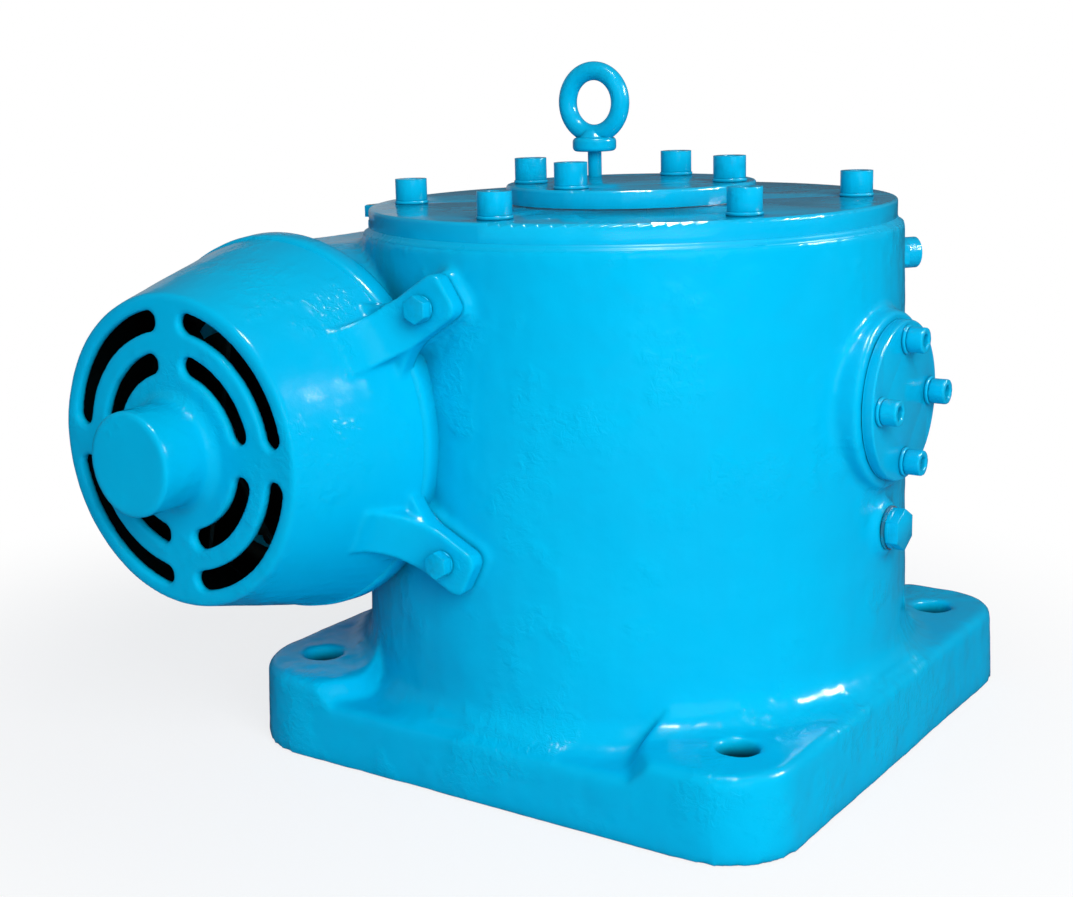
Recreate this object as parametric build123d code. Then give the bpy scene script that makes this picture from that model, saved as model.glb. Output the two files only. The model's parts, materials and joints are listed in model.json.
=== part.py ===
from build123d import *
import math
import os

# Worm gearbox with a vertical output shaft. The origin is on the wheel's axis, on the underside of the
# base. Z is up, and the worm lies along Y on the -X side. All lengths are in millimetres.

# Gear pair
gear_module = 7.0
worm_starts = 2
wheel_teeth = 41
worm_pitch_r = 31.5
pressure_angle = 20.0
tooth_backlash = 0.9
tooth_clearance = 1.4
wheel_face = 50.0
wheel_outer_r = 155.0
worm_thread_length = 100.0
mesh_z = 254.0

wheel_pitch_r = gear_module * wheel_teeth / 2
centre_distance = worm_pitch_r + wheel_pitch_r
worm_x = -centre_distance
worm_tip_r = worm_pitch_r + gear_module
worm_root_r = worm_pitch_r - gear_module - tooth_clearance
throat_r = worm_pitch_r - gear_module
gap_bottom_r = worm_tip_r + tooth_clearance
lead_per_radian = gear_module * worm_starts / 2
flank_slope = math.tan(math.radians(pressure_angle))

# Fits and clearances
bearing_gap = 0.3
seal_gap = 0.05
screw_gap = 0.2
seat_gap = 0.1
gasket_t = 1.0
shim_t = 0.8

# Base
base_half = 231.0
base_corner_r = 54.0
base_worm_corner_r = 68.0
base_draft = 2.5
ledge_z = 47.0
pad_z = 62.0
pad_r = 64.0
pad_slope = 10.0
base_edge_r = 9.0
base_hole_r = 14.0
base_hole_x = 183.0
base_hole_y = 173.0
recess_inner_y = 100.0
flare_r = 24.0

# Housing barrel
rim_r = 206.0
rim_z = 390.0
foot_r = 214.0
wall = 15.0
floor_z = 78.0
rim_edge_r = 3.0
boss_start_x = 146.0

# Worm tunnel
tunnel_half = 118.0
tunnel_half_length = 155.0
tunnel_edge_r = 9.0
neck_r = 127.0
neck_end_y = 206.0

# Cast boxes and bosses on the housing
turret_width = 38.0
turret_x = -228.0
turret_y0 = -22.0
turret_y1 = 132.0
turret_z = 388.0
turret_wall = 9.0
turret_plate_t = 9.0
inspection_z = 269.5
inspection_face_x = 225.0
inspection_cover_r = 57.5
inspection_cover_t = 7.0
inspection_boss_r = 65.0
inspection_boss_edge_r = 4.0
inspection_opening_r = 32.0
inspection_screw_circle_r = 44.0
plug_boss_r = 20.5
level_plug_z = 175.0
level_boss_x = 215.0
drain_z = 92.0
drain_angle = 60.0
breather_z = 352.0
breather_angle = 52.0
side_boss_r = 222.0
side_boss_depth = 25.0
plug_hole_depth = 45.0

# Cowl and fan
cowl_face_y = -321.4
cowl_face_r = 110.0
cowl_rear_r = 139.0
cowl_lug_depth = 26.0
lug_barrel_depth = 30.0
lug_start_r = 112.0
cowl_seat_y = -213.0
cowl_wall = 6.0
cowl_plate_t = 8.0
cowl_edge_r = 3.0
nose_r = 37.0
nose_end_y = -364.4
nose_root_r = 9.0
nose_wall = 7.0
slot_outer_r = 92.0
slot_inner_r = 63.0
slot_width = 14.0
spoke_width = 23.0
ear_angles = (33.0, -27.0, 180.0)
ear_bolt_r = 177.0
ear_end_r = 200.0
ear_width = 35.0
ear_root_width = 66.0
ear_neck_r = 158.0
ear_t = 15.0
ear_corner_r = 9.0
ear_edge_r = 3.0
ear_rib_end_r = 165.0
ear_rib_height = 34.0
fan_r = 92.0
fan_hub_r = 27.0
fan_y = -262.0
fan_blade_width = 30.0
fan_blade_t = 4.0
fan_blades = 8
fan_plate_t = 4.0

# Covers
cover_r = 200.0
cover_t = 15.0
cover_edge_r = 2.5
cover_hub_r = 96.0
cover_hub_bottom_z = 345.0
cover_screw_circle_r = 170.0
cover_screw_angles = (-152.0, -92.0, -32.0, 28.0)
cover_flush_angles = (88.0, 148.0)
cover_boss_r = 19.0
cover_boss_depth = 50.0
cap_r = 95.0
cap_t = 13.0
cap_edge_r = 2.0
cap_screw_circle_r = 77.0
cap_screw_angles = (-155.0, -93.0, 15.0, 93.0)
eyebolt_angle = 143.0
end_cap_r = 98.0
end_cap_t = 13.0
end_cap_screw_circle_r = 80.0
end_cap_screws = 6
shaft_hole_gap = 1.0

# Output shaft line, from the bottom up
output_bore_r = 30.0
output_r = 50.0
output_top_r = 42.5
output_bottom_z = 4.0
output_top_z = 390.0
retainer_r = 88.0
retainer_t = 11.0
retainer_hub_r = 66.0
retainer_hub_top_z = 36.0
retainer_screw_circle_r = 77.0
retainer_recess_z = 12.0
output_seal_r = 62.0
output_seal_t = 12.0
output_seal_z = 14.0
lower_bearing_z = 40.0
lower_bearing_outer_r = 75.0
lower_bearing_width = 32.0
upper_bearing_z = 352.0
upper_bearing_outer_r = 65.0
upper_bearing_width = 29.0
cover_lip = 6.0
hub_r = 72.0
hub_half_length = 46.0
rim_seat_r = 118.0
web_t = 24.0
hub_rim_r = 100.0
lightening_hole_r = 11.0
lightening_holes = 6
spacer_wall = 9.0
rim_screw_r = 6.0
rim_screw_length = 24.0
rim_screws = 6
key_sink_share = 0.6
wheel_key_width = 28.0
wheel_key_height = 16.0
wheel_key_length = 76.0
bore_keyway_width = 18.0
bore_keyway_depth = 4.4
circlip_t = 3.0
circlip_height = 5.0
circlip_groove = 2.0

# Worm shaft line, as distances from the wheel's axis along Y
worm_neck_r = 23.0
worm_shoulder_r = 33.0
worm_shoulder_y = 106.0
worm_bearing_y = 128.0
worm_bearing_width = 31.5
worm_bearing_bore_r = 27.5
worm_bearing_outer_r = 60.0
worm_seal_r = 40.0
worm_seal_t = 10.0
worm_seal_seat_r = 25.0
input_r = 22.5
input_end_y = 330.0
input_key_width = 14.0
input_key_height = 9.0
input_key_length = 90.0
input_key_turn = 22.5
fan_seat_r = 17.5
fan_shaft_end_y = -292.0
lock_nut_r = 37.0
lock_nut_t = 11.0
fan_key_width = 10.0
fan_key_height = 8.0
fan_key_length = 26.0

# Fasteners: radii of shank, head and washer, height of the head, thickness of the washer, length held
# in the casting, and the socket's radius and depth as shares of the head's
m16 = dict(shank=8.0, head=12.2, height=16.5, washer=13.0, washer_t=2.5, grip=28.0, socket=0.5, socket_depth=0.3)
m12 = dict(shank=6.0, head=9.2, height=12.0, washer=10.5, washer_t=2.5, grip=24.0, socket=0.58, socket_depth=0.5)
m10 = dict(shank=5.0, head=8.0, washer=9.0, washer_t=2.0, grip=20.0)
m6 = dict(shank=3.0, head=4.1, grip=11.0)
hole_spare = 4.0
flush_socket = 0.8
flush_socket_depth = 0.6
hex_bolt_flats = 17.0
hex_bolt_height = 8.0
plug_flats = 27.0
plug_height = 10.0
plug_collar_rim = 1.5
plug_collar_t = 3.0
plug_thread_length = 16.0
breather_height = 12.0
plug_thread_r = 10.5
plug_washer_r = 16.0
plug_washer_t = 2.0

# Lifting eyebolt
eye_ring_r = 24.65
eye_wire_r = 7.35
eye_collar_r = 17.5
eye_collar_t = 11.0
eye_collar_edge_r = 3.5
eye_neck_r = 13.0
eye_neck_top_r = 7.5
eye_neck_height = 7.0
eye_shank_r = 5.5
eye_shank_shown = 20.0
eye_shank_depth = 18.0

# Rolling bearings, as shares of a bearing's height and width
roller_slant = 13.0
roller_share = 0.21
roller_length_share = 0.6
roller_rib = 2.0
outer_ring_share = 0.85
cage_share = 0.55
cage_t = 2.0


def rod(axis, radius, start, end, at=(0, 0)):
    """A cylinder along X, Y or Z from start to end. The pair at holds the other two coordinates."""
    length = abs(end - start)
    middle = (start + end) / 2
    if axis == "X":
        return Pos(middle, at[0], at[1]) * Rot(0, 90, 0) * Cylinder(radius, length)
    if axis == "Y":
        return Pos(at[0], middle, at[1]) * Rot(90, 0, 0) * Cylinder(radius, length)
    return Pos(at[0], at[1], middle) * Cylinder(radius, length)


def tube(axis, outer, inner, start, end, at=(0, 0)):
    """A plain tube or ring along an axis."""
    return rod(axis, outer, start, end, at) - rod(axis, inner, start, end, at)


def block(x0, x1, y0, y1, z0, z1):
    """A box between two corners."""
    return Pos((x0 + x1) / 2, (y0 + y1) / 2, (z0 + z1) / 2) * Box(x1 - x0, y1 - y0, z1 - z0)


def around_z(radius, angles, z=0.0):
    """Places on a circle about Z, with the local X axis pointing outwards."""
    return [Pos(0, 0, z) * Rot(0, 0, angle) * Pos(radius, 0, 0) for angle in angles]


def spaced(count, first=0.0):
    """Evenly spaced angles."""
    return [first + 360.0 * k / count for k in range(count)]


def group(parts):
    """Separate solids kept together as one node."""
    solids = []
    for part in parts:
        solids.extend(part.solids())
    return Compound(solids)


def socket_screw(size, length):
    """Socket-head screw: the head stands on Z = 0 and the shank goes down."""
    head = Pos(0, 0, size["height"] / 2) * Cylinder(size["head"], size["height"])
    shank = Pos(0, 0, -length / 2) * Cylinder(size["shank"], length)
    depth = size["height"] * size["socket_depth"]
    key = Pos(0, 0, size["height"] - depth) * extrude(RegularPolygon(size["head"] * size["socket"], 6), depth)
    return head + shank - key


def flush_screw(size, length):
    """Countersunk screw with its flat top at Z = 0."""
    sink = size["head"] - size["shank"]
    cone = Pos(0, 0, -sink / 2) * Cone(size["shank"], size["head"], sink)
    shank = Pos(0, 0, -length / 2) * Cylinder(size["shank"], length)
    depth = sink * flush_socket_depth
    key = Pos(0, 0, -depth) * extrude(RegularPolygon(size["shank"] * flush_socket, 6), depth)
    return cone + shank - key


def flush_hole(size, length):
    """Clearance hole for a countersunk screw, with its mouth at Z = 0."""
    sink = size["head"] - size["shank"]
    cone = Pos(0, 0, -sink / 2) * Cone(size["shank"] + screw_gap, size["head"] + screw_gap, sink)
    return cone + Pos(0, 0, -length / 2) * Cylinder(size["shank"] + screw_gap, length)


def washer(size):
    """Washer standing on Z = 0."""
    return tube("Z", size["washer"], size["shank"] + screw_gap, 0, size["washer_t"])


def hex_bolt(size, length):
    """Hexagon bolt: the head stands on Z = 0 and the shank goes down."""
    hexagon = RegularPolygon(hex_bolt_flats / 2, 6, major_radius=False)
    head = extrude(hexagon, hex_bolt_height)
    return head + Pos(0, 0, -length / 2) * Cylinder(size["shank"], length)


def hex_plug():
    """Threaded plug: the hexagon stands on Z = 0 and the thread goes down."""
    hexagon = RegularPolygon(plug_flats / 2, 6, major_radius=False)
    collar = rod("Z", plug_flats / 2 + plug_collar_rim, 0, plug_collar_t)
    return extrude(hexagon, plug_height) + collar + rod("Z", plug_thread_r, -plug_thread_length, 0)


# Gear teeth


def thread_half_width(radius, extra=0.0):
    """Half the worm thread's width along its axis, at a radius from the worm's axis."""
    pitch_half = math.pi * gear_module / 4
    return pitch_half + (worm_pitch_r - radius) * flank_slope + extra


def worm_section():
    """Cross-section of the two-start thread, square to the worm's axis."""
    edges = []
    for start in range(worm_starts):
        turn = 2 * math.pi * start / worm_starts
        tip = (thread_half_width(worm_tip_r)) / lead_per_radian
        root = (thread_half_width(worm_root_r)) / lead_per_radian
        next_root = turn + 2 * math.pi / worm_starts - root

        def at(radius, angle):
            return (radius * math.cos(angle), radius * math.sin(angle))

        def flank(side):
            points = []
            for k in range(5):
                radius = worm_root_r + (worm_tip_r - worm_root_r) * k / 4
                points.append(at(radius, turn + side * thread_half_width(radius) / lead_per_radian))
            return Spline(*points)

        middle_root = (turn + root + next_root) / 2
        edges.append(flank(-1))
        edges.append(ThreePointArc(at(worm_tip_r, turn - tip), at(worm_tip_r, turn), at(worm_tip_r, turn + tip)))
        edges.append(flank(1))
        edges.append(ThreePointArc(at(worm_root_r, turn + root), at(worm_root_r, middle_root),
                                   at(worm_root_r, next_root)))
    return make_face(edges)


def worm_thread():
    """Right-hand threads, twisted along the worm's axis, with bevelled ends."""
    half = worm_thread_length / 2
    pitch = 2 * math.pi * lead_per_radian
    spine = Line((0, 0, -half), (0, 0, half))
    guide = Pos(0, 0, -half) * Helix(pitch, worm_thread_length, worm_pitch_r)
    start_turn = -math.degrees(half / lead_per_radian)
    section = Pos(0, 0, -half) * Rot(0, 0, start_turn) * worm_section()
    guide = Rot(0, 0, start_turn) * guide
    thread = sweep(section, path=spine, binormal=guide.edges()[0])
    bevel = worm_tip_r - worm_root_r
    profile = Polygon(
        (0, -half), (worm_root_r, -half), (worm_tip_r + 0.5, -half + bevel),
        (worm_tip_r + 0.5, half - bevel), (worm_root_r, half), (0, half), align=None,
    )
    keep = revolve(Plane.XZ * profile, Axis.Z)
    return thread & keep


def gap_flank_point(z, wheel_r, side):
    """Edge of a tooth gap at one height and wheel radius: the furthest the rolling thread reaches."""
    widest = -math.inf
    for step in range(-44, 45):
        shift = 1.5 * step
        low, high = 10.0, math.sqrt(gap_bottom_r**2 - z**2)
        for _ in range(24):
            u = (low + high) / 2
            radius = math.hypot(u, z)
            y = side * thread_half_width(radius, tooth_backlash / 2)
            y += shift - lead_per_radian * math.atan2(z, u)
            if math.hypot(u - centre_distance, y) > wheel_r:
                low = u
            else:
                high = u
        x = u - centre_distance
        if abs(math.hypot(x, y) - wheel_r) > 0.01:
            continue
        wheel_angle = math.atan2(y, -x) + shift / -wheel_pitch_r
        widest = max(widest, side * wheel_angle)
    angle = side * widest
    return (-wheel_r * math.cos(angle), wheel_r * math.sin(angle), z)


def tooth_gap():
    """The space between two wheel teeth on the worm's side, through the whole face width."""
    sections = []
    half = wheel_face / 2 + 1.5
    for k in range(5):
        z = half * (k - 2) / 2
        bottom = centre_distance - math.sqrt(gap_bottom_r**2 - z**2) + 0.02
        top = wheel_outer_r + 2.0
        radii = [bottom + (top - bottom) * j / 5 for j in range(6)]
        right = [gap_flank_point(z, wheel_r, 1) for wheel_r in radii]
        left = [gap_flank_point(z, wheel_r, -1) for wheel_r in radii]
        outline = Wire([
            Line(left[0], right[0]), Spline(*right),
            Line(right[-1], left[-1]), Spline(*reversed(left)),
        ])
        sections.append(outline)
    return Solid.make_loft(sections)


def wheel_rim():
    """Bronze ring with throated teeth that wrap round the worm."""
    half = wheel_face / 2
    ring = tube("Z", wheel_outer_r, rim_seat_r, -half, half)
    throat = revolve(Plane.XZ * (Pos(centre_distance, 0) * Circle(throat_r)), Axis.Z)
    ring -= throat
    gap = tooth_gap()
    gaps = [Rot(0, 0, angle) * gap for angle in spaced(wheel_teeth)]
    ring = ring - gaps
    ring = Pos(0, 0, mesh_z) * ring
    return ring - rim_screw_cuts()


def rim_screw_cuts():
    """Places of the lock screws on the seam between the bronze ring and its hub."""
    top = mesh_z + wheel_face / 2
    cuts = []
    for place in around_z(rim_seat_r, spaced(rim_screws, 30)):
        cuts.append(place * rod("Z", rim_screw_r, top - rim_screw_length, top))
    return cuts


# Rolling bearings


def taper_bearing(bore_r, outer_r, width, count, nose_up):
    """Tapered roller bearing standing on Z = 0: outer ring, inner ring, then rollers with their cage."""
    height = outer_r - bore_r
    mean_r = (outer_r + bore_r) / 2
    roller_r = roller_share * height
    slant = math.radians(roller_slant)
    apex = mean_r / math.tan(slant)
    spread = math.atan(roller_r * math.sin(slant) / mean_r)
    roller_length = roller_length_share * width

    def race(z, turn, gap):
        return (z + apex) * math.tan(slant + turn) + gap

    half = width / 2
    rib = roller_length / 2 * math.cos(slant) + bearing_gap + roller_r * math.sin(slant)
    inner = Polygon(
        (bore_r, -half), (race(-half, -spread, -bearing_gap), -half),
        (race(rib, -spread, -bearing_gap), rib), (race(rib, -spread, roller_rib), rib),
        (race(half, -spread, roller_rib), half), (bore_r, half), align=None,
    )
    ring_top = half * outer_ring_share
    outer = Polygon(
        (outer_r, -half), (outer_r, ring_top), (race(ring_top, spread, bearing_gap), ring_top),
        (race(-half, spread, bearing_gap), -half), align=None,
    )
    inner_ring = revolve(Plane.XZ * inner, Axis.Z)
    outer_ring = revolve(Plane.XZ * outer, Axis.Z)
    distance = mean_r / math.sin(slant)
    small = (distance - roller_length / 2) * math.tan(spread)
    large = (distance + roller_length / 2) * math.tan(spread)
    roller = Pos(mean_r, 0, 0) * Rot(0, math.degrees(slant), 0) * Cone(small, large, roller_length)
    moving = [Rot(0, 0, angle) * roller for angle in spaced(count)]
    cage_half = roller_r * cage_share
    cage_z = -roller_length / 2 * math.cos(slant) - cage_half * math.tan(slant) - bearing_gap
    cage_r = race(cage_z, 0, 0)
    moving.append(tube("Z", cage_r + cage_half, cage_r - cage_half, cage_z - cage_t, cage_z))
    turn = Pos(0, 0, half) * (Rot(180, 0, 0) if nose_up else Rot(0, 0, 0))
    return turn * outer_ring, turn * inner_ring, group([turn * part for part in moving])


def lower_bearing():
    parts = taper_bearing(output_r, lower_bearing_outer_r, lower_bearing_width, 16, False)
    return [Pos(0, 0, lower_bearing_z) * part for part in parts]


def upper_bearing():
    parts = taper_bearing(output_top_r, upper_bearing_outer_r, upper_bearing_width, 14, True)
    return [Pos(0, 0, upper_bearing_z) * part for part in parts]


def worm_bearing(side):
    """The worm's bearing at one end: side is -1 at the fan and 1 at the drive."""
    parts = taper_bearing(worm_bearing_bore_r, worm_bearing_outer_r, worm_bearing_width, 11, True)
    place = Pos(worm_x, 0, mesh_z) * Rot(-90 * side, 0, 0) * Pos(0, 0, worm_bearing_y)
    return [place * part for part in parts]


# Housing


def rounded_square(half, height):
    """Base block with drafted sides and rounded corners, which are larger on the worm's side."""
    plan = fillet(Rectangle(2 * half, 2 * half).vertices().sort_by(Axis.X)[:2], base_worm_corner_r)
    plan = fillet(plan.vertices().sort_by(Axis.X)[-2:], base_corner_r)
    return extrude(plan, height, taper=base_draft)


def base_holes():
    """Centres of the four holes in the base."""
    return [(sx * base_hole_x, sy * base_hole_y) for sx in (-1, 1) for sy in (-1, 1)]


def base_recesses():
    """Space above the ledge on the two Y sides, scalloped round the corner pads."""
    low = ledge_z - base_edge_r - 1
    high = pad_z + flare_r + 2
    slope = pad_slope / (pad_z - ledge_z)
    column = Cone(pad_r + slope * (pad_z - low), pad_r - slope * (high - pad_z), high - low)
    recess = block(-base_hole_x, base_hole_x, -base_half - 1, -recess_inner_y, low, high)
    recess += block(-base_hole_x, base_hole_x, recess_inner_y, base_half + 1, low, high)
    return recess - [Pos(x, y, (low + high) / 2) * column for x, y in base_holes()]


def base_plate():
    """Square foot: pads and side strips at one level, and a lower ledge on the two Y sides."""
    ledge = rounded_square(base_half, ledge_z)
    ledge = fillet(ledge.faces().sort_by(Axis.Z)[-1].edges(), base_edge_r)
    raised = rounded_square(base_half, pad_z)
    raised = fillet(raised.faces().sort_by(Axis.Z)[-1].edges(), base_edge_r)
    return ledge + (raised - base_recesses())


def flare(level):
    """Concave foot of the barrel on one level of the base, kept within the square."""
    wall_r = foot_r - 1.0
    low = level - base_edge_r
    profile = make_face([
        Line((wall_r - 20, low), (wall_r + flare_r, low)),
        Line((wall_r + flare_r, low), (wall_r + flare_r, level)),
        RadiusArc((wall_r + flare_r, level), (wall_r, level + flare_r), flare_r),
        Line((wall_r, level + flare_r), (wall_r - 20, level + flare_r)),
        Line((wall_r - 20, level + flare_r), (wall_r - 20, low)),
    ])
    return revolve(Plane.XZ * profile, Axis.Z) & rounded_square(base_half - base_edge_r, level + flare_r + 5)


def barrel_outside():
    """Upright cast barrel, slightly wider at its foot."""
    height = rim_z - ledge_z + 10
    barrel = Pos(0, 0, ledge_z - 10 + height / 2) * Cone(foot_r, rim_r, height)
    return fillet(barrel.edges().group_by(Axis.Z)[-1], rim_edge_r)


def tunnel_outside():
    """Square box round the worm, with a round neck at each end."""
    box = block(worm_x - tunnel_half, worm_x + 90, -tunnel_half_length, tunnel_half_length,
                mesh_z - tunnel_half, mesh_z + tunnel_half)
    outer = box.edges().filter_by(Axis.Y).group_by(Axis.X)[0]
    box = fillet(outer, tunnel_edge_r)
    neck = rod("Y", neck_r, -neck_end_y, neck_end_y, (worm_x, mesh_z))
    return box, neck


def ear_seat_place(angle):
    """Place on the cowl's seat with local X along an ear and local Z away from the housing."""
    return Pos(worm_x, cowl_seat_y, mesh_z) * Rot(90, 0, 0) * Rot(0, 0, angle)


def cowl_lugs():
    """Cast seats that the cowl's ears are bolted to."""
    lugs = []
    for angle in ear_angles:
        on_barrel = math.cos(math.radians(angle)) > 0
        depth = cowl_lug_depth + (lug_barrel_depth if on_barrel else 0)
        lug = block(lug_start_r, ear_end_r, -ear_width / 2 - 1, ear_width / 2 + 1, -depth, 0)
        lug = fillet(lug.edges().filter_by(Axis.Z).group_by(Axis.X)[-1], ear_corner_r)
        lugs.append(ear_seat_place(angle) * lug)
    return lugs


def side_place(angle, z, radius):
    """Place on the barrel's side, with the local Z axis pointing outwards."""
    return Rot(0, 0, angle) * Pos(radius, 0, z) * Rot(0, 90, 0)


def housing():
    box, neck = tunnel_outside()
    feet = flare(ledge_z) + (flare(pad_z) - base_recesses())
    body = base_plate() + barrel_outside() + feet + box + neck + cowl_lugs()
    body += block(turret_x - turret_width / 2, -rim_r + turret_wall, turret_y0, turret_y1,
                  mesh_z + tunnel_half - 5, turret_z)
    boss_face = inspection_face_x - inspection_cover_t - gasket_t
    boss = rod("X", inspection_boss_r, boss_start_x, boss_face, (0, inspection_z))
    body += fillet(boss.edges().group_by(Axis.X)[-1], inspection_boss_edge_r)
    body += rod("X", plug_boss_r, boss_start_x, level_boss_x, (0, level_plug_z))
    for angle, z in ((drain_angle, drain_z), (breather_angle, breather_z)):
        body += side_place(angle, z, side_boss_r) * rod("Z", plug_boss_r, -side_boss_depth, 0)

    inside = Pos(0, 0, (floor_z + rim_z + 1) / 2) * Cylinder(rim_r - wall, rim_z + 1 - floor_z)
    body -= inside
    body += cover_bosses()
    body -= rod("Y", worm_bearing_outer_r, -neck_end_y - 5, neck_end_y + 5, (worm_x, mesh_z))
    body -= rod("Z", lower_bearing_outer_r, lower_bearing_z, floor_z + 1)
    body -= rod("Z", retainer_hub_r + seat_gap, 0, lower_bearing_z)
    body -= rod("Z", retainer_r + seat_gap, -1, retainer_recess_z)
    body -= rod("X", inspection_opening_r, boss_start_x, inspection_face_x, (0, inspection_z))
    body -= block(turret_x - turret_width / 2 + turret_wall, turret_x + turret_width / 2 - turret_wall,
                  turret_y0 + turret_wall, turret_y1 - turret_wall, mesh_z, turret_z + 1)
    body -= [rod("Z", base_hole_r, -1, pad_z + 1, at) for at in base_holes()]
    return body - housing_screw_holes()


def cover_boss_outline(place):
    """Plan of a boss that reaches from its screw out into the barrel's wall."""
    reach = rim_r - wall + 3 - cover_screw_circle_r
    stem = Pos(reach / 2, 0) * Rectangle(reach, 2 * cover_boss_r)
    return place * (Circle(cover_boss_r) + stem)


def cover_bosses():
    """Bosses inside the barrel's mouth for the screws of the top cover."""
    bosses = []
    for place in around_z(cover_screw_circle_r, cover_screw_angles + cover_flush_angles, rim_z - cover_boss_depth):
        bosses.append(extrude(cover_boss_outline(place), cover_boss_depth))
    return bosses


def tapped_hole(size):
    """Hole for a screw, going down from the face at Z = 0."""
    return rod("Z", size["shank"] + screw_gap, -size["grip"] - hole_spare, 1)


def housing_screw_holes():
    """Tapped holes and plug holes in the casting."""
    cover_places = around_z(cover_screw_circle_r, cover_screw_angles + cover_flush_angles, rim_z)
    holes = [place * tapped_hole(m16) for place in cover_places]
    holes += [place * tapped_hole(m12) for place in inspection_places()]
    holes += [place * tapped_hole(m10) for place in ear_places(0)]
    for side in (-1, 1):
        holes += [place * tapped_hole(m12) for place in end_cap_places(side)]
    holes += [place * tapped_hole(m10) for place in retainer_places()]
    holes += [place * tapped_hole(m6) for place in turret_places()]
    plug_hole = rod("Z", plug_thread_r + seat_gap, -plug_hole_depth, 1)
    holes += [place * plug_hole for place in plug_places()]
    return holes


# Places of the screws, each with its local Z axis pointing out of the joint


def cover_top_z():
    return rim_z + gasket_t + cover_t


def cap_bottom_z():
    return cover_top_z() + shim_t


def cap_top_z():
    return cap_bottom_z() + cap_t


def inspection_places(out=0.0):
    face = Pos(inspection_face_x - inspection_cover_t - gasket_t + out, 0, inspection_z) * Rot(0, 90, 0)
    return [face * Rot(0, 0, angle) * Pos(inspection_screw_circle_r, 0, 0) for angle in spaced(4)]


def end_cap_places(side, out=0.0):
    face = Pos(worm_x, side * (neck_end_y + out), mesh_z) * Rot(-90 * side, 0, 0)
    return [face * Rot(0, 0, a) * Pos(end_cap_screw_circle_r, 0, 0) for a in spaced(end_cap_screws, 30)]


def retainer_places():
    face = Pos(0, 0, retainer_recess_z) * Rot(180, 0, 0)
    return [face * Rot(0, 0, angle) * Pos(retainer_screw_circle_r, 0, 0) for angle in spaced(6)]


def plug_places():
    """Places of the oil level plug, the drain plug and the breather."""
    level = Pos(level_boss_x, 0, level_plug_z) * Rot(0, 90, 0)
    drain = side_place(drain_angle, drain_z, side_boss_r)
    return [level, drain, side_place(breather_angle, breather_z, side_boss_r)]


def turret_places():
    inset = turret_wall / 2
    places = []
    for x in (turret_x - turret_width / 2 + inset, turret_x + turret_width / 2 - inset):
        for y in (turret_y0 + inset, turret_y1 - inset):
            places.append(Pos(x, y, turret_z))
    return places


def ear_places(out):
    return [ear_seat_place(angle) * Pos(ear_bolt_r, 0, out) for angle in ear_angles]


# Covers, gaskets and plugs


def top_cover():
    bottom = rim_z + gasket_t
    plate = rod("Z", cover_r, bottom, cover_top_z())
    plate = fillet(plate.edges().group_by(Axis.Z)[-1], cover_edge_r)
    cover = plate + rod("Z", cover_hub_r, cover_hub_bottom_z, bottom)
    cover -= rod("Z", upper_bearing_outer_r, upper_bearing_z, cover_top_z() + 1)
    cover -= rod("Z", upper_bearing_outer_r - cover_lip, cover_hub_bottom_z - 1, upper_bearing_z)
    for place in around_z(cover_screw_circle_r, cover_screw_angles):
        cover -= place * rod("Z", m16["shank"] + screw_gap, bottom - 1, cover_top_z() + 1)
    for place in around_z(cover_screw_circle_r, cover_flush_angles, cover_top_z()):
        cover -= place * flush_hole(m16, cover_t + 2)
    for place in around_z(cap_screw_circle_r, cap_screw_angles + (eyebolt_angle,), cover_top_z()):
        cover -= place * tapped_hole(m16)
    return cover


def top_cover_gasket():
    ring = tube("Z", cover_r, rim_r - wall, rim_z, rim_z + gasket_t)
    places = around_z(cover_screw_circle_r, cover_screw_angles + cover_flush_angles, rim_z)
    for place in places:
        ring += extrude(cover_boss_outline(place), gasket_t)
    return ring - [place * rod("Z", m16["shank"] + screw_gap, -1, gasket_t + 1) for place in places]


def bearing_cap():
    plate = rod("Z", cap_r, cap_bottom_z(), cap_top_z())
    plate = fillet(plate.edges().group_by(Axis.Z)[-1], cap_edge_r)
    spigot_bottom = upper_bearing_z + upper_bearing_width + 0.1
    spigot = tube("Z", upper_bearing_outer_r - seat_gap, upper_bearing_outer_r - 7, spigot_bottom, cap_bottom_z())
    cap = plate + spigot
    for place in around_z(cap_screw_circle_r, cap_screw_angles, cap_bottom_z()):
        cap -= place * rod("Z", m16["shank"] + screw_gap, -1, cap_t + 1)
    hole = rod("Z", eye_shank_r + screw_gap, -1, cap_t + 1)
    return cap - around_z(cap_screw_circle_r, (eyebolt_angle,), cap_bottom_z())[0] * hole


def cap_shim():
    shim = tube("Z", cap_r - 2, upper_bearing_outer_r, cover_top_z(), cap_bottom_z())
    for place in around_z(cap_screw_circle_r, cap_screw_angles + (eyebolt_angle,), cover_top_z()):
        shim -= place * rod("Z", m16["shank"] + screw_gap, -1, shim_t + 1)
    return shim


def on_top(places, parts_of):
    """The same part at each place, as one node."""
    return group([place * parts_of for place in places])


def lifting_eyebolt():
    """Ring standing across the worm, on a collar and a shank that isn't screwed fully home."""
    collar_z = eye_shank_shown
    neck_z = collar_z + eye_collar_t
    ring_z = neck_z + eye_ring_r + eye_wire_r * 0.35
    collar = rod("Z", eye_collar_r, collar_z, neck_z)
    eye = fillet(collar.edges(), eye_collar_edge_r)
    eye += Pos(0, 0, neck_z - 1 + eye_neck_height / 2) * Cone(eye_neck_r, eye_neck_top_r, eye_neck_height)
    eye += rod("Z", eye_shank_r, -cap_t - shim_t - eye_shank_depth, collar_z + 1)
    eye += Pos(0, 0, ring_z) * Rot(90, 0, 0) * Torus(eye_ring_r, eye_wire_r)
    turn = around_z(cap_screw_circle_r, (eyebolt_angle,), cap_top_z())[0]
    return turn * Rot(0, 0, -eyebolt_angle) * eye


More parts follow.
